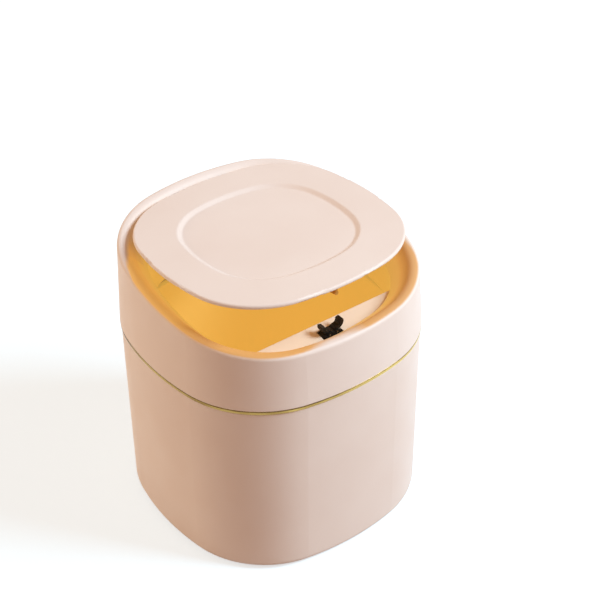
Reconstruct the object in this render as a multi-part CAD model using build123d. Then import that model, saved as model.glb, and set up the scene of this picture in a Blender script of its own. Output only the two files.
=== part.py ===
from build123d import *
from math import atan, atan2, cos, degrees, radians, sin, sqrt, tan
import os

# Push top countertop bin: a rounded square body with a lift-off collar, a brass trim line between them,
# an inner pail, a thin hinged lid and a black push latch on a shelf inside the collar's mouth.
# Frame: +Z up, origin on the counter under the middle of the plan, latch side at -Y, hinge side at +Y.
# Everything is in millimetres and stands in the rest pose: lid part open, latch sprung out.

MIN, MID, MAX = Align.MIN, Align.CENTER, Align.MAX

# ---- plan outline: bowed sides and arc corners, every other width is an even offset of this one ----
HALF = 75.0
CORNER_R = 54.9
SIDE_R = 149.3
SIDE_OFF = SIDE_R - HALF
CORNER_C = (sqrt(2 * (SIDE_R - CORNER_R) ** 2 - SIDE_OFF**2) - SIDE_OFF) / 2
TURN = degrees(atan2(CORNER_C, CORNER_C + SIDE_OFF))
QUARTER = 90

# ---- heights ----
FOOT_PROUD = 0.6
FLOOR = 2.4
SPLIT_Z = 110.3
TRIM_H = 2.4
COLLAR_Z = SPLIT_Z + TRIM_H
COLLAR_H = 41.2
RIM_Z = COLLAR_Z + COLLAR_H
SLANT = atan(0.15)

# ---- body ----
BODY_DRAFT = 0.4
BASE_HALF = HALF - BODY_DRAFT
BODY_WALL = 2.4
BODY_IN = HALF - BODY_WALL
BASE_R = 4.5
INSIDE_R = 3.0
TONGUE_W, TONGUE_H = 1.0, 1.0
FOOT_D, FOOT_T, FOOT_FIT = 12.0, 1.4, 0.2
FOOT_IN = 30.6
FOOT_REACH = BASE_HALF - FOOT_IN

# ---- trim ring ----
TRIM_PROUD = 0.5
TRIM_HALF = HALF + TRIM_PROUD
TRIM_FIT = 0.1
TRIM_R = 0.8
SEAM_R = 0.4

# ---- inner pail ----
PAIL_FIT = 1.2
PAIL_LIP = 1.9
PAIL_LIP_H = 1.6
PAIL_DRAFT = 5.0
PAIL_HALF = BODY_IN - PAIL_FIT - PAIL_LIP
PAIL_BASE_HALF = PAIL_HALF - PAIL_DRAFT
PAIL_DOWN = 5.3
PAIL_TOP = SPLIT_Z - PAIL_DOWN
PAIL_WALL = 1.2
PAIL_R = 7.0
PAIL_LIP_R = 0.5

# ---- collar ----
COLLAR_PROUD = 0.6
COLLAR_LEAN = 1.9
COLLAR_HALF = HALF + COLLAR_PROUD
RIM_HALF = COLLAR_HALF - COLLAR_LEAN
WALL = 2.0
SPIGOT_FIT = 0.35
SPIGOT_WALL = 1.8
SPIGOT_DEEP = 5.2
OUTER_R = 2.0
LIP_R = 5.0
LIP_W = 4.8

# ---- funnel under the collar's lip: a flare that narrows to an upright throat ----
FLARE = atan(0.81)
FLARE_W = 10.6
MOUTH_HALF = RIM_HALF - LIP_W
THROAT_HALF = MOUTH_HALF - FLARE_W
FUNNEL_DEEP = FLARE_W / tan(FLARE)
SEAM_DEEP = 3.6
SEAM_LAP = 1.2
OVERCUT = 1.0
REACH = 200.0

# ---- front shelf and the latch pocket in it ----
SHELF_DEEP = 13.3
SHELF_T = 2.0
SHELF_W = 14.2
SHELF_EDGE_Y = SHELF_W - THROAT_HALF
SHELF_ROOT = 1.0
SHELF_R = 0.6
LATCH_IN = 8.55
LATCH_Y = SHELF_EDGE_Y - LATCH_IN
SHELF_Z = RIM_Z + LATCH_Y * tan(SLANT) - SHELF_DEEP / cos(SLANT)
THROAT_LONG = 13.5
THROAT_Z = SHELF_Z - THROAT_LONG
POCKET_W, POCKET_D = 12.6, 7.6
POCKET_R = 0.5
BOSS_X, BOSS_D, BOSS_H = 10.6, 4.6, 3.6

# ---- hinge: pin in collar lugs, knuckles on the lid, axis given in the slanted rim's own frame ----
LID_FIT = 3.9
LID_HALF = MOUTH_HALF - LID_FIT
AXIS_IN = 3.5
AXIS_U, AXIS_V = LID_HALF - AXIS_IN, -2.2
PIN_D = 1.6
PIN_FIT = 0.06
LUG_R, LUG_T, LUG_X = 1.6, 3.0, 16.5
KNUCKLE_R, KNUCKLE_W, KNUCKLE_X = 2.0, 5.0, 7.5
PIN_OVER = 0.5

# ---- torsion springs ----
COIL_X, COIL_PITCH, COIL_TURNS = 12.5, 0.6, 6
COIL_R, COIL_WIRE = 1.42, 0.5
LEG_FRONT, LEG_REAR, LEG_DROP = 6.0, 5.2, 70
COIL_L = COIL_PITCH * (COIL_TURNS - LEG_DROP / 360)

# ---- lid ----
LID_T = 2.5
LID_TOP_V = 0.8
LID_EDGE_R = 1.15
LID_OPEN = 11.8
PANEL_IN = 20.8
PANEL_HALF = LID_HALF - PANEL_IN
PANEL_DEEP = 1.5
PANEL_SLOPE = 2.6
PANEL_SKIN = 2.0
PANEL_R = 2.2
RELIEF_R = 2.1
RELIEF_X0, RELIEF_X1 = 10.1, 19.2
RELIEF_REAR = 1.3

# ---- latch ----
LATCH_TRAVEL = 2.0
HOUSING_FIT = 0.1
HOUSING_WALL = 0.7
HOUSING_SUNK = 0.9
HOUSING_L = 15.1
HOUSING_TOP = SHELF_Z - HOUSING_SUNK
HOUSING_BASE = HOUSING_TOP - HOUSING_L
HOUSING_FLOOR = 1.2
EAR_T, EAR_R = 1.6, 2.3
SLIDE_FIT = 0.1
PLUNGER_UP = 7.5
PLUNGER_BASE = HOUSING_BASE + PLUNGER_UP
FORK_DEEP = 2.9
FORK_Z = SHELF_Z - FORK_DEEP
CHEEK_T = 0.6
WEB_T = 1.8
WEB_UP = 1.7
WEB_TOP = SHELF_Z + WEB_UP
JAW_FIT = 0.1
JAW_UP = 0.9
JAW_PIVOT_X, JAW_PIVOT_Z = 2.4, SHELF_Z + JAW_UP
JAW_BOSS_R = 1.3
JAW_OUT_R, JAW_OUT_FROM, JAW_OUT_TO = 3.6, -60.0, 55.0
JAW_IN_R, JAW_IN_FROM, JAW_IN_TO = 1.9, -50.0, 65.0
JAW_IN_DROP = 0.6
JAW_KNOB_R = 0.6
JAW_SWING = 38.6
JAW_TAIL_L, JAW_TAIL_W = 3.4, 0.9
JAW_PIN_D, JAW_PIN_FIT = 0.9, 0.05
CAM_D, CAM_FIT, CAM_HOOK, CAM_RISE = 0.7, 0.25, 1.4, 11.0
CAM_BEND_R = 0.5
SPRING_R, SPRING_WIRE, SPRING_TURNS = 1.7, 0.5, 5
SCREW_D, SCREW_L, SCREW_HEAD_D, SCREW_HEAD_H = 1.5, 4.6, 3.2, 1.2
SCREW_CROSS, SCREW_SLOT = 1.9, 0.4

# ---- striker under the lid ----
STRIKER_HEAD_R = 1.1
STRIKER_L = 4.4
STRIKER_GAP = 0.3
STRIKER_NECK = 1.1
STRIKER_PAD_W, STRIKER_PAD_D, STRIKER_PAD_T = 13.0, 7.0, 1.2
STRIKER_PEG_D, STRIKER_PEG_H, STRIKER_PEG_X = 2.0, 1.2, 4.5

# Derived places
SPIGOT_HALF = BODY_IN - SPIGOT_FIT
FLOOR_Z = FOOT_PROUD + FLOOR
RIM = Plane(origin=(0, 0, RIM_Z), x_dir=(1, 0, 0), z_dir=(0, -sin(SLANT), cos(SLANT)))
AXIS = RIM.from_local_coords(Vector(0, AXIS_U, AXIS_V))
LATCH = Pos(0, LATCH_Y, 0)
BOSS_Z = SHELF_Z - SHELF_T - BOSS_H
STRIKER_Z = WEB_TOP + STRIKER_GAP + STRIKER_HEAD_R
GRIP_Z = STRIKER_Z + LATCH_TRAVEL
STRIKER = RIM.to_local_coords(Vector(0, LATCH_Y, STRIKER_Z))
PAD_TOP = LID_TOP_V - LID_T
HOUSING_W = POCKET_W - 2 * HOUSING_FIT
HOUSING_D = POCKET_D - 2 * HOUSING_FIT
CAVITY_W = HOUSING_W - 2 * HOUSING_WALL
CAVITY_D = HOUSING_D - 2 * HOUSING_WALL
PLUNGER_W = CAVITY_W - 2 * SLIDE_FIT
PLUNGER_D = CAVITY_D - 2 * SLIDE_FIT
CAM_X = PLUNGER_W / 2 - CAM_D / 2 - CAM_FIT


def plan(half):
    """Plan face at a half width: four bowed sides joined by four corner arcs."""
    grow = half - HALF
    side = CenterArc((-SIDE_OFF, 0), SIDE_R + grow, -TURN, 2 * TURN)
    corner = CenterArc((CORNER_C, CORNER_C), CORNER_R + grow, TURN, QUARTER - 2 * TURN)
    turns = [Rot(0, 0, QUARTER * i) for i in range(4)]
    return make_face([turn * arc for turn in turns for arc in (side, corner)])


def prism(half, z0, z1):
    """Upright solid on the plan outline between two heights."""
    return Pos(0, 0, z0) * extrude(plan(half), amount=z1 - z0)


def drafted(half0, half1, z0, z1):
    """Solid on the plan outline that widens evenly from one half width to another."""
    draft = degrees(atan((half1 - half0) / (z1 - z0)))
    return Pos(0, 0, z0) * extrude(plan(half0), amount=z1 - z0, taper=-draft)


def under_rim(depth):
    """Everything beneath a plane parallel to the slanted rim and this deep under it."""
    return RIM * Pos(0, 0, -depth) * Box(REACH, REACH, REACH, align=(MID, MID, MAX))


def above(z):
    """Everything over one level."""
    return Pos(0, 0, z) * Box(REACH, REACH, REACH, align=(MID, MID, MIN))


def sleeve(inset, z0, depth):
    """Solid inside the collar's leaning wall: from a level up to a depth under the slanted rim."""
    low = Pos(0, 0, z0) * plan(COLLAR_HALF - inset)
    top = RIM * Pos(0, 0, -depth) * plan(RIM_HALF - inset)
    return loft([low, top], ruled=True)


def mouth(grow=0.0):
    """Void of the mouth, or that void grown by a wall: an upright throat under a flared funnel."""
    half = MOUTH_HALF + grow / cos(FLARE)
    deep = (half - THROAT_HALF - grow) / tan(FLARE) + OVERCUT
    top = RIM * Pos(0, 0, OVERCUT) * plan(half + OVERCUT * tan(FLARE))
    low = RIM * Pos(0, 0, -deep) * plan(half - deep * tan(FLARE))
    throat = prism(THROAT_HALF + grow, PAIL_TOP, RIM_Z) & under_rim(FUNNEL_DEEP - WALL)
    return loft([top, low], ruled=True) + throat


def edges_at(shape, z, half, slack=1.5):
    """Edges lying level at one height whose reach along X or Y is about one half width."""
    found = shape.edges().filter_by_position(Axis.Z, z - 0.01, z + 0.01)
    return [e for e in found if abs(max(abs(e.center().X), abs(e.center().Y)) - half) < slack]


def rim_edges(shape, depth):
    """Edges lying in a plane parallel to the slanted rim."""
    def lies_in_it(edge):
        return all(abs(RIM.to_local_coords(edge @ t).Z + depth) < 0.01 for t in (0, 0.5, 1))

    return [e for e in shape.edges() if lies_in_it(e)]


def reach(edge):
    """How far out an edge lies from the middle of the plan."""
    return Vector(edge.center().X, edge.center().Y, 0).length


def opened(shape):
    """Lid pieces are drawn closed in the rim's frame, then turned to the part-open rest pose."""
    return shape.rotate(Axis(AXIS, (-1, 0, 0)), LID_OPEN)


def cross_bar(radius, x0, x1):
    """Cylinder along X on the hinge axis."""
    return Pos(x0, AXIS.Y, AXIS.Z) * Rot(0, 90, 0) * Cylinder(radius, x1 - x0, align=(MID, MID, MIN))


def mirrored(shape):
    """A piece and its twin across the middle plane."""
    return [shape, mirror(shape, about=Plane.YZ)]


# ---------------------------------------------------------------- body, feet, trim, pail
def body_shell():
    outer = drafted(BASE_HALF, HALF, FOOT_PROUD, SPLIT_Z)
    outer = fillet(edges_at(outer, FOOT_PROUD, BASE_HALF, BASE_HALF), BASE_R)
    outer = fillet(edges_at(outer, SPLIT_Z, HALF, HALF), SEAM_R)
    outer += prism(BODY_IN + TONGUE_W, SPLIT_Z - FLOOR, SPLIT_Z + TONGUE_H)
    inner = drafted(BASE_HALF - BODY_WALL, BODY_IN, FLOOR_Z, SPLIT_Z + TONGUE_H)
    inner = fillet(edges_at(inner, FLOOR_Z, BASE_HALF, BASE_HALF), INSIDE_R)
    sockets = [p * Cylinder(FOOT_D / 2 + FOOT_FIT, FOOT_T, align=(MID, MID, MIN)) for p in foot_places()]
    return outer - inner - sockets


def foot_places():
    return [Pos(x, y, 0) for x in (-FOOT_REACH, FOOT_REACH) for y in (-FOOT_REACH, FOOT_REACH)]


def foot_pads():
    pad = Cylinder(FOOT_D / 2, FOOT_T, align=(MID, MID, MIN))
    pad = fillet(pad.edges().sort_by(Axis.Z)[0], FOOT_PROUD / 2)
    return [place * pad for place in foot_places()]


def trim_ring():
    band = prism(TRIM_HALF, SPLIT_Z, COLLAR_Z)
    band = fillet([e for z in (SPLIT_Z, COLLAR_Z) for e in edges_at(band, z, HALF, HALF)], TRIM_R)
    tongue_room = prism(BODY_IN + TONGUE_W + TRIM_FIT, SPLIT_Z, SPLIT_Z + TONGUE_H + TRIM_FIT)
    return band - tongue_room - prism(BODY_IN + TRIM_FIT, SPLIT_Z, COLLAR_Z)


def inner_pail():
    skin = drafted(PAIL_BASE_HALF, PAIL_HALF, FLOOR_Z, PAIL_TOP)
    skin = fillet(edges_at(skin, FLOOR_Z, HALF, HALF), PAIL_R)
    lip = prism(PAIL_HALF + PAIL_LIP, PAIL_TOP - PAIL_LIP_H, PAIL_TOP)
    hollow = drafted(PAIL_BASE_HALF - PAIL_WALL, PAIL_HALF - PAIL_WALL, FLOOR_Z + PAIL_WALL, PAIL_TOP)
    hollow = fillet(edges_at(hollow, FLOOR_Z + PAIL_WALL, HALF, HALF), PAIL_R - PAIL_WALL)
    pail = skin + lip - hollow
    return fillet(edges_at(pail, PAIL_TOP, HALF, HALF), PAIL_LIP_R)


# ---------------------------------------------------------------- collar
def collar():
    """Leaning skin with a broad rounded lip; the lip's flare ends in a rebate for the funnel."""
    skin = sleeve(0, COLLAR_Z, 0)
    skin = fillet(edges_at(skin, COLLAR_Z, HALF, HALF), SEAM_R)
    skin = fillet(rim_edges(skin, 0), OUTER_R) - mouth()
    inner_rim = sorted(rim_edges(skin, 0), key=reach)[: len(plan(HALF).edges())]
    skin = fillet(inner_rim, LIP_R)
    skin += prism(SPIGOT_HALF, COLLAR_Z - SPIGOT_DEEP, COLLAR_Z + WALL) - mouth()
    room = sleeve(WALL, COLLAR_Z + WALL, OUTER_R)
    room += prism(SPIGOT_HALF - SPIGOT_WALL, COLLAR_Z - SPIGOT_DEEP, COLLAR_Z + 2 * WALL)
    return skin - (room - (mouth(WALL) - under_rim(SEAM_DEEP))) - seam_tongue()


def seam_tongue():
    """Raised outer half of the funnel's top edge, which the rebate under the lip takes."""
    return (mouth(WALL) - mouth(WALL / 2)) & under_rim(SEAM_DEEP - SEAM_LAP)


def collar_funnel():
    """Inner moulding: flared funnel and throat, grooved for the shelf, with the rear hinge lugs."""
    wall = above(THROAT_Z) & ((mouth(WALL) & under_rim(SEAM_DEEP)) + seam_tongue()) - mouth()
    return wall - shelf_slab() + lugs() - cross_bar(PIN_D / 2, -LUG_X - LUG_T, LUG_X + LUG_T)


def shelf_slab():
    """Plate parallel to the rim across the front of the throat, its edge rooted in the funnel's groove."""
    slab = prism(THROAT_HALF + SHELF_ROOT, THROAT_Z, RIM_Z) & under_rim(SHELF_DEEP)
    slab &= Pos(0, SHELF_EDGE_Y, SHELF_Z) * Box(REACH, REACH, REACH, align=(MID, MAX, MID))
    return slab - under_rim(SHELF_DEEP + SHELF_T)


def latch_shelf():
    """Front shelf with a soft back edge, the latch pocket and two screw bosses under it."""
    slab = shelf_slab()
    slab = fillet(slab.edges().filter_by(Axis.X).sort_by(Axis.Z)[-1], SHELF_R)
    boss = Cylinder(BOSS_D / 2, BOSS_H + SHELF_T / 2, align=(MID, MID, MIN))
    bore = Cylinder(SCREW_D / 2, BOSS_H + SHELF_T / 2, align=(MID, MID, MIN))
    for place in screw_places(BOSS_Z):
        slab += place * boss
        slab -= place * bore
    hole = fillet(Box(POCKET_W, POCKET_D, SHELF_T * 3).edges().filter_by(Axis.Z), POCKET_R)
    return slab - LATCH * Pos(0, 0, SHELF_Z - SHELF_T / 2) * hole


def screw_places(z):
    return [LATCH * Pos(x, 0, z) for x in (-BOSS_X, BOSS_X)]


def lugs():
    """Two upright lugs that rise from the funnel's rear slope and hold the hinge pin."""
    post = RIM * Pos(LUG_X, AXIS_U, AXIS_V) * Box(LUG_T, 2 * LUG_R, FUNNEL_DEEP, align=(MID, MID, MAX))
    lug = post + cross_bar(LUG_R, LUG_X - LUG_T / 2, LUG_X + LUG_T / 2)
    return [twin & mouth(WALL / 2) for twin in mirrored(lug)]


# ---------------------------------------------------------------- hinge pin and springs
def hinge_pin():
    end = LUG_X + LUG_T / 2 + PIN_OVER
    return cross_bar(PIN_D / 2, -end, end)


def torsion_spring():
    """Coil round the pin, its rear leg down along the funnel's slope and its front leg under the lid."""
    line = Rot(0, 90, 0) * Helix(COIL_PITCH, COIL_L, COIL_R)
    front, rear = line @ 0, line @ 1
    path = Wire([
        Line(front - (line % 0) * LEG_FRONT, front),
        line,
        Line(rear, rear + (line % 1) * LEG_REAR),
    ])
    section = Plane(origin=path @ 0, z_dir=path % 0) * Circle(COIL_WIRE / 2)
    return RIM * Pos(COIL_X - COIL_L / 2, AXIS_U, AXIS_V) * sweep(section, path)


# ---------------------------------------------------------------- lid
def lid_top():
    plate = Pos(0, 0, LID_TOP_V - LID_T) * extrude(plan(LID_HALF), amount=LID_T)
    plate = fillet(plate.edges().group_by(Axis.Z)[0] + plate.edges().group_by(Axis.Z)[-1], LID_EDGE_R)
    scale_to = PANEL_HALF / HALF
    floor = scale(plan(HALF), by=scale_to)
    under_t = PANEL_DEEP + PANEL_SKIN
    under = Pos(0, 0, LID_TOP_V - under_t) * extrude(offset(floor, PANEL_SKIN), amount=under_t - PANEL_DEEP)
    under = fillet(under.edges().group_by(Axis.Z)[0], PANEL_SKIN / 2)
    slope = degrees(atan(PANEL_SLOPE / PANEL_DEEP))
    dish = extrude(offset(floor, -PANEL_SLOPE), amount=LID_T, taper=-slope)
    dish = Pos(0, 0, LID_TOP_V - PANEL_DEEP) * dish
    plate = plate + under - dish
    top_edges = plate.edges().filter_by_position(Axis.Z, LID_TOP_V - 0.01, LID_TOP_V + 0.01)
    soft = [e for e in top_edges if reach(e) < PANEL_HALF + PANEL_IN / 2]
    plate = fillet(soft, PANEL_R)
    deep = [e for e in plate.edges() if abs(e.center().Z - LID_TOP_V + PANEL_DEEP) < 0.01]
    plate = fillet(deep, PANEL_R)
    plate -= striker_pegs()
    plate = RIM * plate
    for x in (-KNUCKLE_X, KNUCKLE_X):
        plate += cross_bar(KNUCKLE_R, x - KNUCKLE_W / 2, x + KNUCKLE_W / 2)
    plate -= cross_bar(PIN_D / 2 + PIN_FIT, -RELIEF_X1, RELIEF_X1)
    rear = Box(RELIEF_X1 - RELIEF_X0, 2 * LID_T, LID_T, align=(MIN, MIN, MAX))
    rear = RIM * Pos(RELIEF_X0, AXIS_U, AXIS_V + RELIEF_REAR) * rear
    cut = cross_bar(RELIEF_R, RELIEF_X0, RELIEF_X1) + rear
    return opened(plate - mirrored(cut))


def striker_pegs():
    """Two short pegs under the lid's front that key the striker, in the rim's frame."""
    peg = Cylinder(STRIKER_PEG_D / 2, STRIKER_PEG_H, align=(MID, MID, MIN))
    return [Pos(x, STRIKER.Y, PAD_TOP) * peg for x in (-STRIKER_PEG_X, STRIKER_PEG_X)]


def lid_striker():
    """Keyed pad, thin neck and a round bar that the latch's jaws close over."""
    pad = Pos(0, STRIKER.Y, PAD_TOP) * Box(STRIKER_PAD_W, STRIKER_PAD_D, STRIKER_PAD_T, align=(MID, MID, MAX))
    pad = fillet(pad.edges().filter_by(Axis.Z), STRIKER_PAD_T)
    neck_l = PAD_TOP - STRIKER.Z - STRIKER_PAD_T / 2
    neck = Pos(0, STRIKER.Y, STRIKER.Z) * Box(STRIKER_NECK, STRIKER_L, neck_l, align=(MID, MID, MIN))
    head = LATCH * Pos(0, 0, STRIKER_Z) * Rot(90, 0, 0) * Cylinder(STRIKER_HEAD_R, STRIKER_L)
    return opened(RIM * (pad + neck + striker_pegs()) + head)


# ---------------------------------------------------------------- latch
def block(width, depth, z0, z1):
    """Upright block centred on the latch."""
    return LATCH * Pos(0, 0, z0) * Box(width, depth, z1 - z0, align=(MID, MID, MIN))


def latch_housing():
    case = block(HOUSING_W, HOUSING_D, HOUSING_BASE, HOUSING_TOP)
    case = fillet(case.edges().filter_by(Axis.Z), POCKET_R)
    ears = make_hull([e for place in screw_places(0) for e in (place * Circle(EAR_R)).edges()])
    case += Pos(0, 0, BOSS_Z - EAR_T) * extrude(ears, amount=EAR_T)
    case -= block(CAVITY_W, CAVITY_D, HOUSING_BASE + HOUSING_FLOOR, HOUSING_TOP)
    holes = Cylinder(SCREW_D / 2 + HOUSING_FIT, EAR_T * 2)
    socket = Cylinder(CAM_D / 2, HOUSING_FLOOR * 2)
    case -= [place * holes for place in screw_places(BOSS_Z)]
    return case - LATCH * Pos(CAM_X, 0, HOUSING_BASE + HOUSING_FLOOR) * socket


def latch_screws():
    shank = Cylinder(SCREW_D / 2, SCREW_L, align=(MID, MID, MIN))
    head = Cylinder(SCREW_HEAD_D / 2, SCREW_HEAD_H, align=(MID, MID, MAX))
    head = fillet(head.edges().sort_by(Axis.Z)[0], SCREW_SLOT)
    slot = Pos(0, 0, -SCREW_HEAD_H) * Box(SCREW_CROSS, SCREW_SLOT, SCREW_SLOT, align=(MID, MID, MIN))
    screw = shank + head - [slot, Rot(0, 0, QUARTER) * slot]
    return [place * screw for place in screw_places(BOSS_Z - EAR_T)]


def latch_plunger():
    base = block(PLUNGER_W, PLUNGER_D, PLUNGER_BASE, JAW_PIVOT_Z)
    inner_d = PLUNGER_D - 2 * CHEEK_T
    base -= block(PLUNGER_W, inner_d, FORK_Z, JAW_PIVOT_Z)
    for x in (-JAW_PIVOT_X, JAW_PIVOT_X):
        base += pivot_rod(x, JAW_BOSS_R, PLUNGER_D) - pivot_rod(x, JAW_BOSS_R * 2, inner_d)
        base -= pivot_rod(x, JAW_PIN_D / 2, PLUNGER_D)
    base += block(WEB_T, PLUNGER_D, FORK_Z, WEB_TOP)
    slot_w = CAM_HOOK + CAM_D + 2 * CAM_FIT
    slot_x = CAM_X + CAM_D / 2 + CAM_FIT
    groove = Box(slot_w, CAM_D + 2 * CAM_FIT, CAM_RISE * 2, align=(MAX, MID, MID))
    return base - LATCH * Pos(slot_x, 0, PLUNGER_BASE) * groove


def pivot_rod(x, radius, length):
    """Cylinder along Y on a jaw's pivot."""
    return LATCH * Pos(x, 0, JAW_PIVOT_Z) * Rot(90, 0, 0) * Cylinder(radius, length)


def latch_jaw(side):
    """Hooked jaw on a pivot; its tail rides the housing's edge and shuts the jaw as the plunger sinks.

    Drawn shut over the striker's bar, then swung open.
    """
    inner = CenterArc((0, GRIP_Z - JAW_IN_DROP), JAW_IN_R, JAW_IN_FROM, JAW_IN_TO - JAW_IN_FROM)
    outer = CenterArc((0, GRIP_Z), JAW_OUT_R, JAW_OUT_FROM, JAW_OUT_TO - JAW_OUT_FROM)
    crescent = make_face([inner, outer] + [Line(inner @ t, outer @ t) for t in (0, 1)])
    boss = Pos(JAW_PIVOT_X, JAW_PIVOT_Z) * Circle(JAW_BOSS_R)
    knob = Pos((inner @ 0 + outer @ 0) / 2) * Circle(JAW_KNOB_R)
    tail = Rot(0, 0, JAW_SWING / 2) * Pos(JAW_TAIL_L, 0) * Circle(JAW_TAIL_W / 2)
    tail = Pos(JAW_PIVOT_X, JAW_PIVOT_Z) * tail
    shape = crescent + make_hull(boss.edges() + knob.edges()) + make_hull(boss.edges() + tail.edges())
    depth = PLUNGER_D - 2 * CHEEK_T - 2 * JAW_FIT
    jaw = LATCH * extrude(Plane.XZ * shape, amount=depth / 2, both=True)
    jaw -= pivot_rod(JAW_PIVOT_X, JAW_PIN_D / 2 + JAW_PIN_FIT, depth * 2)
    jaw = jaw.rotate(Axis((JAW_PIVOT_X, LATCH_Y, JAW_PIVOT_Z), (0, 1, 0)), JAW_SWING)
    return jaw if side > 0 else mirror(jaw, about=Plane.YZ)


def latch_jaw_pins():
    return [pivot_rod(x, JAW_PIN_D / 2, PLUNGER_D) for x in (-JAW_PIVOT_X, JAW_PIVOT_X)]


def latch_spring():
    z0 = HOUSING_BASE + HOUSING_FLOOR + SPRING_WIRE / 2
    height = PLUNGER_BASE - SPRING_WIRE / 2 - z0
    line = Helix(height / SPRING_TURNS, height, SPRING_R)
    section = Plane(origin=line @ 0, z_dir=line % 0) * Circle(SPRING_WIRE / 2)
    return LATCH * Pos(0, 0, z0) * sweep(section, line)


def latch_cam_pin():
    """Steel wire follower that stands in the housing's floor and hooks into the plunger's groove."""
    foot = Vector(CAM_X, 0, HOUSING_BASE)
    knee = foot + Vector(0, 0, CAM_RISE)
    line = FilletPolyline(foot, knee, knee - Vector(CAM_HOOK, 0, 0), radius=CAM_BEND_R)
    section = Plane(origin=line @ 0, z_dir=line % 0) * Circle(CAM_D / 2)
    return LATCH * sweep(section, line)


NODES = {
    "body_shell": body_shell,
    "foot_pads": foot_pads,
    "trim_ring": trim_ring,
    "inner_pail": inner_pail,
    "collar": collar,
    "collar_funnel": collar_funnel,
    "latch_shelf": latch_shelf,
    "hinge_pin": hinge_pin,
    "torsion_spring_left": lambda: mirror(torsion_spring(), about=Plane.YZ),
    "torsion_spring_right": torsion_spring,
    "lid_top": lid_top,
    "lid_striker": lid_striker,
    "latch_housing": latch_housing,
    "latch_screws": latch_screws,
    "latch_plunger": latch_plunger,
    "latch_jaw_left": lambda: latch_jaw(-1),
    "latch_jaw_right": lambda: latch_jaw(1),
    "latch_jaw_pins": latch_jaw_pins,
    "latch_spring": latch_spring,
    "latch_cam_pin": latch_cam_pin,
}

os.makedirs("parts", exist_ok=True)
for name, make in NODES.items():
    made = make()
    solids = [s for piece in (made if isinstance(made, list) else [made]) for s in piece.solids()]
    export_step(Compound(children=solids) if len(solids) > 1 else solids[0], f"parts/{name}.step")
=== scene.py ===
import bpy
from mathutils import Matrix, Vector


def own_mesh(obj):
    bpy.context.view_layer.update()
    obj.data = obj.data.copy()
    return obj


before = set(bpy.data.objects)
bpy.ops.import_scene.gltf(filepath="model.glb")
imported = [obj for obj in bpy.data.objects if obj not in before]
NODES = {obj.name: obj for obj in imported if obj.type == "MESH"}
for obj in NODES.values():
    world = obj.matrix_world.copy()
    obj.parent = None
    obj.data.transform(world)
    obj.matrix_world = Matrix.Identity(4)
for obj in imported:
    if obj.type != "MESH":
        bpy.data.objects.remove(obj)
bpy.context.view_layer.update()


# ------------------------------------------------------------------ colour
def linear(r, g, b):
    """An sRGB colour, 0 to 255, as the linear values that Blender's sockets take."""
    def one(c):
        c /= 255.0
        return c / 12.92 if c <= 0.04045 else ((c + 0.055) / 1.055) ** 2.4
    return (one(r), one(g), one(b), 1.0)


CREAM = linear(238, 225, 216)
CREAM_DARK = linear(234, 219, 209)
# The shelf's two tones are the cream with painted warm bounce light from the glow inside.
SHELF_PAINTED_BOUNCE = linear(238, 216, 193)
SHELF_PAINTED_BOUNCE_DARK = linear(234, 210, 186)
# Amber tones: painted glow, colour that stands for the warm light inside the bin.
AMBER_PAINTED_GLOW = linear(224, 181, 105)
AMBER_PAINTED_GLOW_DEEP = linear(221, 177, 100)
AMBER_PAINTED_GLOW_LIP = linear(226, 172, 106)
# Striker: cream plastic painted in the warm shade and glow under the lid.
STRIKER_PAINTED_SHADE = linear(204, 148, 66)
STRIKER_PAINTED_SHADE_DARK = linear(198, 142, 62)
# Gold: a lit and a shaded tone of one plating, for a painted reflection.
GOLD_LIT = linear(230, 198, 118)
GOLD_SHADED = linear(112, 72, 30)
# Painted shadow for the seam under the collar.
GOLD_SEAM_SHADOW = linear(66, 40, 18)
BLACK = linear(20, 17, 15)
BLACK_WORN = linear(34, 30, 27)
STEEL = linear(186, 186, 188)
STEEL_DEEP = linear(142, 142, 146)
RUBBER = linear(196, 184, 172)
RUBBER_DEEP = linear(182, 170, 158)

# Painted glow: emission that stands for the warm light inside the bin, deep inside and near the lip.
GLOW = (0.276, 0.22, 0.05, 1.0)
GLOW_LIP = (0.34, 0.225, 0.055, 1.0)
UNLIT = (0.0, 0.0, 0.0, 1.0)

# The stage as the camera sees it: white, over paper that takes the object's shadow.
WHITE = (1.0, 1.0, 1.0, 1.0)
PAPER = (0.42, 0.55, 0.64, 1.0)
PAPER_LIGHT = (0.44, 0.57, 0.66, 1.0)

# The stage as it lights the object.
PAPER_BOUNCE = (0.5, 0.38, 0.31, 1.0)
ROOM = (1.0, 0.63, 0.455, 1.0)
ROOM_STRENGTH = 0.475


# ------------------------------------------------------------------ finish
# Grain and metal lines are bumps: a strength for each, and one depth in metres.
GRAIN_STRENGTH, LINE_STRENGTH, BUMP_DEPTH = 0.35, 0.15, 0.00002

# Moulded plastic: its least and most roughness, and its specular level.
SATIN, SHEEN = (0.42, 0.52), 0.26


# ------------------------------------------------------------------ where colour changes on a piece
# The collar's rim slopes up towards the hinge: its height over the middle of the plan, and its slope.
RIM_AT_MIDDLE, RIM_SLOPE = 0.1539, 0.15

# What a place is multiplied by to leave only its plan.
PLAN_ONLY = (1.0, 1.0, 0.0)

# Directions from the middle of the plan, where -Y is the latch side and +Y the hinge side.
UP = (0.0, 0.0, 1.0)
TO_HINGE = (0.0, 1.0, 0.0)
TO_NEAR_LEFT = (-0.94, -0.342, 0.0)
TO_NEAR_RIGHT = (0.5, -0.866, 0.0)
TO_LEFT_LIP = (-0.985, 0.174, 0.0)
TO_LATCH = (-0.1045, -0.9945, 0.0)
TO_RIGHT = (0.80, -0.60, 0.0)
TO_TRIM_RIGHT = (0.94, -0.34, 0.0)

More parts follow.
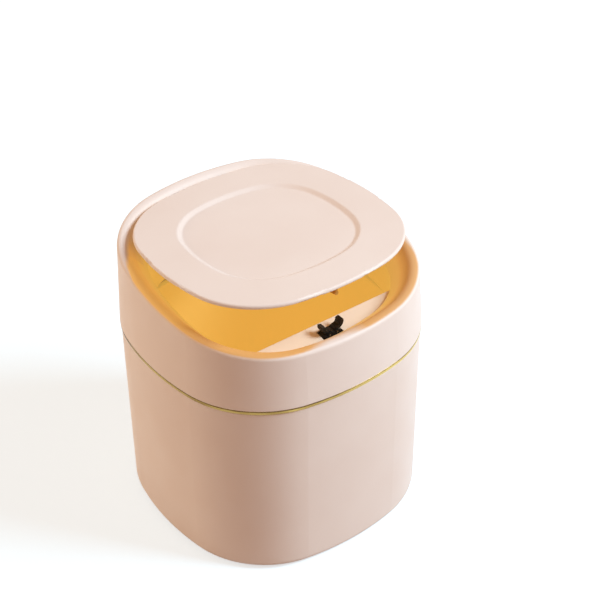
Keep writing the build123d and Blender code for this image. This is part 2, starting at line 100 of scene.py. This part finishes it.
# A band is a start, an end, and the values at these two.
# These compare two directions: 1 is along, 0 is across and -1 is against.
# The next six place the collar's painted glow.
NEAR_LEFT = (0.4, 0.86, 0.0, 1.1)
NEAR_RIGHT = (0.76, 0.93, 0.0, 0.8)
LEFT_LIP = (0.76, 0.92, 0.0, 0.85)
AT_LATCH = (0.972, 0.997, 1.0, 0.4)
TURNED_IN = (-0.12, -0.55, 0.0, 1.0)
FACING_IN = (-0.2, -0.5, 0.0, 1.0)

# These start and end at a distance, a depth or a height, in metres.
# The next five place the collar's painted glow.
HINGE_SIDE = (0.018, 0.036, 0.0, 0.9)
FAR_RIGHT = (0.035, 0.068, 1.0, 0.92)
BELOW_LIP = (0.0, 0.007, 0.0, 1.0)
DEEP_COLOUR = (0.005, 0.014, 0.0, 1.0)
DEEP_WALL = (0.006, 0.012, 0.0, 1.0)
# The next one places the gold band's painted reflection.
TRIM_PAINTED_REFLECTION = (-0.03, 0.065, 0.42, 1.0)
# The next one places the painted shadow of the seam on the gold band's top edge.
TRIM_SEAM_SHADOW = (0.1119, 0.1124, 0.0, 0.8)
FLOOR_FAR = (0.5, 1.6, 0.63, 1.0)

# These start and end at a value of a noise, which lies mostly between 0.3 and 0.7.
MOTTLE = (0.35, 0.65, 0, 1)
TRIM_LINES = (0.35, 0.65, -0.2, 0.2)
# Slow patches in the gold band's painted reflection.
TRIM_REFLECTION_PATCHES = (0.3, 0.7, -0.25, 0.25)
NOISE_LOW, NOISE_HIGH = 0.3, 0.7

# Factors on a noise's X, Y and Z: a large one makes it change fast that way, so that lines lie across it.
UPRIGHT_SQUEEZE = (1, 1, 40)
SIDEWAYS_SQUEEZE = (40, 1, 1)
UPRIGHT_STRETCH = (1, 1, 0.05)


# ------------------------------------------------------------------ node helpers
class Shader:
    """A material's node tree with short calls for the nodes that every material here uses."""

    # The mix node's sockets share names between data types, so its colours go by place.
    MIX_COLOURS = slice(6, 8)
    MIX_RESULT = 2

    def __init__(self, name):
        self.material = bpy.data.materials.new(name)
        self.material.use_nodes = True
        self.tree = self.material.node_tree
        self.bsdf = self.tree.nodes["Principled BSDF"]
        coords = self.tree.nodes.new("ShaderNodeTexCoord")
        self.coords = coords.outputs["Object"]
        self.normal = coords.outputs["Normal"]

    def node(self, kind, **settings):
        made = self.tree.nodes.new(kind)
        for key, value in settings.items():
            setattr(made, key, value)
        return made

    def link(self, out, socket):
        self.tree.links.new(out, socket)

    def noise(self, scale, detail=2.0, rough=0.5, stretch=None):
        where = self.coords
        if stretch:
            mapping = self.node("ShaderNodeMapping")
            mapping.inputs["Scale"].default_value = stretch
            self.link(where, mapping.inputs["Vector"])
            where = mapping.outputs["Vector"]
        made = self.node("ShaderNodeTexNoise")
        made.inputs["Scale"].default_value = scale
        made.inputs["Detail"].default_value = detail
        made.inputs["Roughness"].default_value = rough
        self.link(where, made.inputs["Vector"])
        return made.outputs["Fac"]

    def remap(self, value, low, high, to_low, to_high):
        made = self.node("ShaderNodeMapRange")
        for key, number in (("From Min", low), ("From Max", high), ("To Min", to_low), ("To Max", to_high)):
            made.inputs[key].default_value = number
        self.link(value, made.inputs["Value"])
        return made.outputs["Result"]

    def math(self, operation, a, b=None):
        made = self.node("ShaderNodeMath", operation=operation)
        for socket, value in zip(made.inputs, (a, b)):
            if value is None:
                continue
            if isinstance(value, (int, float)):
                socket.default_value = value
            else:
                self.link(value, socket)
        return made.outputs[0]

    def vector(self, operation, a, b=None):
        made = self.node("ShaderNodeVectorMath", operation=operation)
        for socket, value in zip(made.inputs, (a, b)):
            if value is None:
                continue
            if isinstance(value, tuple):
                socket.default_value = value
            else:
                self.link(value, socket)
        return made.outputs["Value" if operation in ("DOT_PRODUCT", "LENGTH") else "Vector"]

    def along(self, direction, place=None):
        """How far a place, or else this point, lies along a direction."""
        return self.vector("DOT_PRODUCT", self.coords if place is None else place, direction)

    def mix(self, factor, a, b):
        made = self.node("ShaderNodeMix", data_type="RGBA")
        self.link(factor, made.inputs["Factor"])
        for socket, value in zip(made.inputs[self.MIX_COLOURS], (a, b)):
            if isinstance(value, tuple):
                socket.default_value = value
            else:
                self.link(value, socket)
        return made.outputs[self.MIX_RESULT]

    def bump(self, height, strength, distance):
        made = self.node("ShaderNodeBump")
        made.inputs["Strength"].default_value = strength
        made.inputs["Distance"].default_value = distance
        self.link(height, made.inputs["Height"])
        self.link(made.outputs["Normal"], self.bsdf.inputs["Normal"])

    def set(self, **values):
        for key, value in values.items():
            self.bsdf.inputs[key.replace("_", " ")].default_value = value

    def colour(self, out):
        self.link(out, self.bsdf.inputs["Base Color"])

    def roughness(self, out):
        self.link(out, self.bsdf.inputs["Roughness"])

    def mottle(self):
        """Slow, faint patches of tone."""
        return self.remap(self.noise(scale=14, detail=3), *MOTTLE)

    def moulded(self, gloss=SATIN, grain=2600):
        """The finish of moulded plastic: a gloss that wanders a little over fine spark-eroded grain."""
        self.roughness(self.remap(self.noise(scale=60, detail=4), NOISE_LOW, NOISE_HIGH, *gloss))
        self.bump(self.noise(scale=grain, detail=2, rough=0.6), GRAIN_STRENGTH, BUMP_DEPTH)
        self.set(Specular_IOR_Level=SHEEN)

    def drawn(self, lines, gloss):
        """The finish of bare metal: gloss and fine relief that follow its lines."""
        self.roughness(self.remap(lines, NOISE_LOW, NOISE_HIGH, *gloss))
        self.bump(lines, LINE_STRENGTH, BUMP_DEPTH)
        self.set(Metallic=1.0)


# ------------------------------------------------------------------ materials
def plastic(name, light, dark, **finish):
    """Moulded plastic that drifts slowly between two tones."""
    s = Shader(name)
    s.colour(s.mix(s.mottle(), light, dark))
    s.moulded(**finish)
    return s


def cream_plastic():
    return plastic("cream_plastic", CREAM, CREAM_DARK).material


def shelf_painted_bounce():
    """The shelf's cream, warmer than the rest, as it looks beside the amber: painted warm bounce light from
    the glow.
    """
    return plastic("cream_shelf_painted_bounce", SHELF_PAINTED_BOUNCE, SHELF_PAINTED_BOUNCE_DARK).material


def collar_painted_glow():
    """Cream outside; where it turns in towards the mouth it has a painted warm glow and shade, in colour
    and emission.

    The painted glow climbs over the crest at the near left and near right, is weak at the latch,
    and keeps to the deep walls at the hinge side. It is light painted into the plastic.
    """
    s = Shader("cream_collar_painted_glow")
    outward = s.vector("NORMALIZE", s.vector("MULTIPLY", s.coords, PLAN_ONLY))
    facing = s.vector("DOT_PRODUCT", outward, s.normal)
    below_rim = s.math("SUBTRACT", RIM_AT_MIDDLE, s.along((0.0, -RIM_SLOPE, 1.0)))

    # Which surfaces get the painted glow: those that turn in, and the crest too at the near left and near
    # right.
    near_left = s.remap(s.along(TO_NEAR_LEFT, outward), *NEAR_LEFT)
    near_right = s.remap(s.along(TO_NEAR_RIGHT, outward), *NEAR_RIGHT)
    hinge_side = s.remap(s.along(TO_HINGE), *HINGE_SIDE)
    turn = s.math("ADD", s.math("SUBTRACT", facing, s.math("ADD", near_left, near_right)), hinge_side)
    inside = s.remap(turn, *TURNED_IN)
    deep = s.math("MULTIPLY", s.remap(below_rim, *DEEP_WALL), s.remap(facing, *FACING_IN))
    right = s.remap(s.along(TO_RIGHT), *FAR_RIGHT)
    front = s.remap(s.along(TO_LATCH, outward), *AT_LATCH)
    glow = s.math("MULTIPLY", s.math("MULTIPLY", s.math("MAXIMUM", inside, deep), right), front)

    # Painted glow in the colour: it goes from cream to amber, and redder near the lip.
    slow = s.mottle()
    skin = s.mix(slow, CREAM, CREAM_DARK)
    warm = s.mix(slow, AMBER_PAINTED_GLOW, AMBER_PAINTED_GLOW_DEEP)
    depth = s.remap(below_rim, *DEEP_COLOUR)
    s.colour(s.mix(glow, skin, s.mix(depth, AMBER_PAINTED_GLOW_LIP, warm)))

    # The emission is a painted glow and no lamp; lamp below is only its amount. It fades out at the lip,
    # except at the left.
    left_lip = s.remap(s.along(TO_LEFT_LIP, outward), *LEFT_LIP)
    lamp = s.math("MULTIPLY", glow, s.math("MAXIMUM", left_lip, s.remap(below_rim, *BELOW_LIP)))
    s.link(s.mix(lamp, UNLIT, s.mix(depth, GLOW_LIP, GLOW)), s.bsdf.inputs["Emission Color"])

    s.moulded()
    s.set(Emission_Strength=1.0)
    return s.material


def amber_plastic():
    """The inner pail, its amber tone and its emission a painted glow for the warm light inside the bin."""
    s = plastic("amber_plastic", AMBER_PAINTED_GLOW, AMBER_PAINTED_GLOW_DEEP, gloss=(0.38, 0.5))
    s.set(Emission_Color=GLOW, Emission_Strength=1.0)
    return s.material


def striker_painted_shade():
    # Painted warm shade: the striker coloured as it looks in the glow under the lid.
    return plastic("striker_painted_warm_shade", STRIKER_PAINTED_SHADE, STRIKER_PAINTED_SHADE_DARK, gloss=(0.5, 0.6)).material


def black_plastic():
    return plastic("black_plastic", BLACK, BLACK_WORN, gloss=(0.36, 0.5), grain=3200).material


def foot_rubber():
    return plastic("foot_rubber", RUBBER, RUBBER_DEEP, gloss=(0.7, 0.85), grain=1800).material


def gold_trim():
    """Plated band: fine lines over a painted reflection, a tone that runs from shaded at the left to lit at
    the right, with slow patches.

    Its top edge is painted dark: a painted shadow of the seam under the collar.
    """
    s = Shader("gold_trim")
    grain = s.noise(scale=120, detail=3, rough=0.6, stretch=UPRIGHT_SQUEEZE)
    s.drawn(grain, gloss=(0.16, 0.3))
    lines = s.remap(grain, *TRIM_LINES)
    patches = s.remap(s.noise(scale=34, detail=2, stretch=UPRIGHT_STRETCH), *TRIM_REFLECTION_PATCHES)
    # Painted reflection: darker at the left, brighter at the right, with slow patches.
    side = s.remap(s.along(TO_TRIM_RIGHT), *TRIM_PAINTED_REFLECTION)
    tone = s.mix(s.math("ADD", side, s.math("ADD", lines, patches)), GOLD_SHADED, GOLD_LIT)
    # Painted shadow: the band's top edge darkened for the seam under the collar.
    top = s.remap(s.along(UP), *TRIM_SEAM_SHADOW)
    s.colour(s.mix(top, tone, GOLD_SEAM_SHADOW))
    return s.material


def steel_wire():
    """Wire and rod with fine lighter and darker bands that lie across X."""
    s = Shader("steel_wire")
    lines = s.noise(scale=300, detail=3, rough=0.6, stretch=SIDEWAYS_SQUEEZE)
    s.colour(s.mix(lines, STEEL, STEEL_DEEP))
    s.drawn(lines, gloss=(0.22, 0.38))
    return s.material


FINISHES = (
    (cream_plastic, ["body_shell", "lid_top"]),
    (shelf_painted_bounce, ["latch_shelf"]),
    (collar_painted_glow, ["collar", "collar_funnel"]),
    (amber_plastic, ["inner_pail"]),
    (striker_painted_shade, ["lid_striker"]),
    (black_plastic, ["latch_housing", "latch_plunger", "latch_jaw_left", "latch_jaw_right"]),
    (foot_rubber, ["foot_pads"]),
    (gold_trim, ["trim_ring"]),
    (steel_wire, ["hinge_pin", "torsion_spring_left", "torsion_spring_right",
                  "latch_screws", "latch_jaw_pins", "latch_spring", "latch_cam_pin"]),
)
for make, pieces in FINISHES:
    material = make()
    for name in pieces:
        mesh = NODES[name].data
        mesh.materials.clear()
        mesh.materials.append(material)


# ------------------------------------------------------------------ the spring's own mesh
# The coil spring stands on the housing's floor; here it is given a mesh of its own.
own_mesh(NODES["latch_spring"])


# ------------------------------------------------------------------ stage
def by_ray(tree, seen, lit):
    """A shader that camera, mirror and glass rays see one way, and that lights the object another way."""
    path = tree.nodes.new("ShaderNodeLightPath")
    direct = path.outputs["Is Camera Ray"]
    for ray in ("Is Glossy Ray", "Is Transmission Ray"):
        either = tree.nodes.new("ShaderNodeMath")
        either.operation = "MAXIMUM"
        tree.links.new(direct, either.inputs[0])
        tree.links.new(path.outputs[ray], either.inputs[1])
        direct = either.outputs[0]
    mix = tree.nodes.new("ShaderNodeMixShader")
    tree.links.new(direct, mix.inputs[0])
    tree.links.new(lit, mix.inputs[1])
    tree.links.new(seen, mix.inputs[2])
    return mix.outputs[0]


def stage_material():
    """Pale paper floor, white to the camera. It emits less near the object, so that the soft shadow shows.

    The light that it throws back on the object is warmer and dimmer.
    """
    s = Shader("stage_white")
    paper = s.noise(scale=900, detail=3)
    s.colour(s.mix(paper, PAPER, PAPER_LIGHT))
    s.set(Roughness=0.95, Specular_IOR_Level=0.0, Emission_Color=WHITE)
    distance = s.vector("LENGTH", s.coords)
    s.link(s.remap(distance, *FLOOR_FAR), s.bsdf.inputs["Emission Strength"])
    bounce = s.node("ShaderNodeBsdfDiffuse")
    bounce.inputs["Color"].default_value = PAPER_BOUNCE
    out = by_ray(s.tree, s.bsdf.outputs[0], bounce.outputs[0])
    s.link(out, s.tree.nodes["Material Output"].inputs["Surface"])
    return s.material


bpy.ops.mesh.primitive_plane_add(size=8.0, location=(0, 0, 0))
floor = bpy.context.object
floor.name = "floor"
floor.data.materials.append(stage_material())


def studio_world():
    """White behind everything for the camera, a dim warm room for the light."""
    world = bpy.data.worlds.new("studio")
    bpy.context.scene.world = world
    world.use_nodes = True
    tree = world.node_tree
    room = tree.nodes["Background"]
    room.inputs["Color"].default_value = ROOM
    room.inputs["Strength"].default_value = ROOM_STRENGTH
    white = tree.nodes.new("ShaderNodeBackground")
    white.inputs["Color"].default_value = WHITE
    white.inputs["Strength"].default_value = 1.0
    out = by_ray(tree, white.outputs[0], room.outputs[0])
    tree.links.new(out, tree.nodes["World Output"].inputs["Surface"])


studio_world()

PART_MIDDLE = Vector((0, 0, 0.09))


def area(name, size, power, position, colour):
    """A square lamp, aimed at about the middle of the part."""
    lamp = bpy.data.lights.new(name, "AREA")
    lamp.shape = "SQUARE"
    lamp.size = size
    lamp.energy = power
    lamp.color = colour
    made = bpy.data.objects.new(name, lamp)
    made.location = position
    aim = PART_MIDDLE - Vector(position)
    made.rotation_euler = aim.to_track_quat("-Z", "Y").to_euler()
    bpy.context.collection.objects.link(made)
    return made


area("key", size=0.6, power=30.4, position=(0.89, -0.89, 1.20), colour=(0.70, 0.88, 1.0))
fill = area("fill", size=0.8, power=11.0, position=(-1.07, 1.14, 0.45), colour=(1.0, 0.85, 0.62))
fill.visible_glossy = False


# ------------------------------------------------------------------ camera
def camera():
    """Camera at the photograph's angle: its axes, place and lens, solved from the photograph."""
    right = Vector((0.80033, -0.59951, -0.00774))
    up = Vector((0.36257, 0.47367, 0.80260))
    back = Vector((-0.47750, -0.64516, 0.59646))
    place = Vector((-0.369407, -0.526085, 0.599043))
    data = bpy.data.cameras.new("camera")
    data.sensor_width = 36.0
    data.lens = 89.87
    data.clip_start = 0.01
    made = bpy.data.objects.new("camera", data)
    turn = Matrix((right, up, back)).transposed().to_4x4()
    made.matrix_world = Matrix.Translation(place) @ turn
    bpy.context.collection.objects.link(made)
    bpy.context.scene.camera = made


camera()
bpy.context.scene.view_settings.view_transform = "Standard"
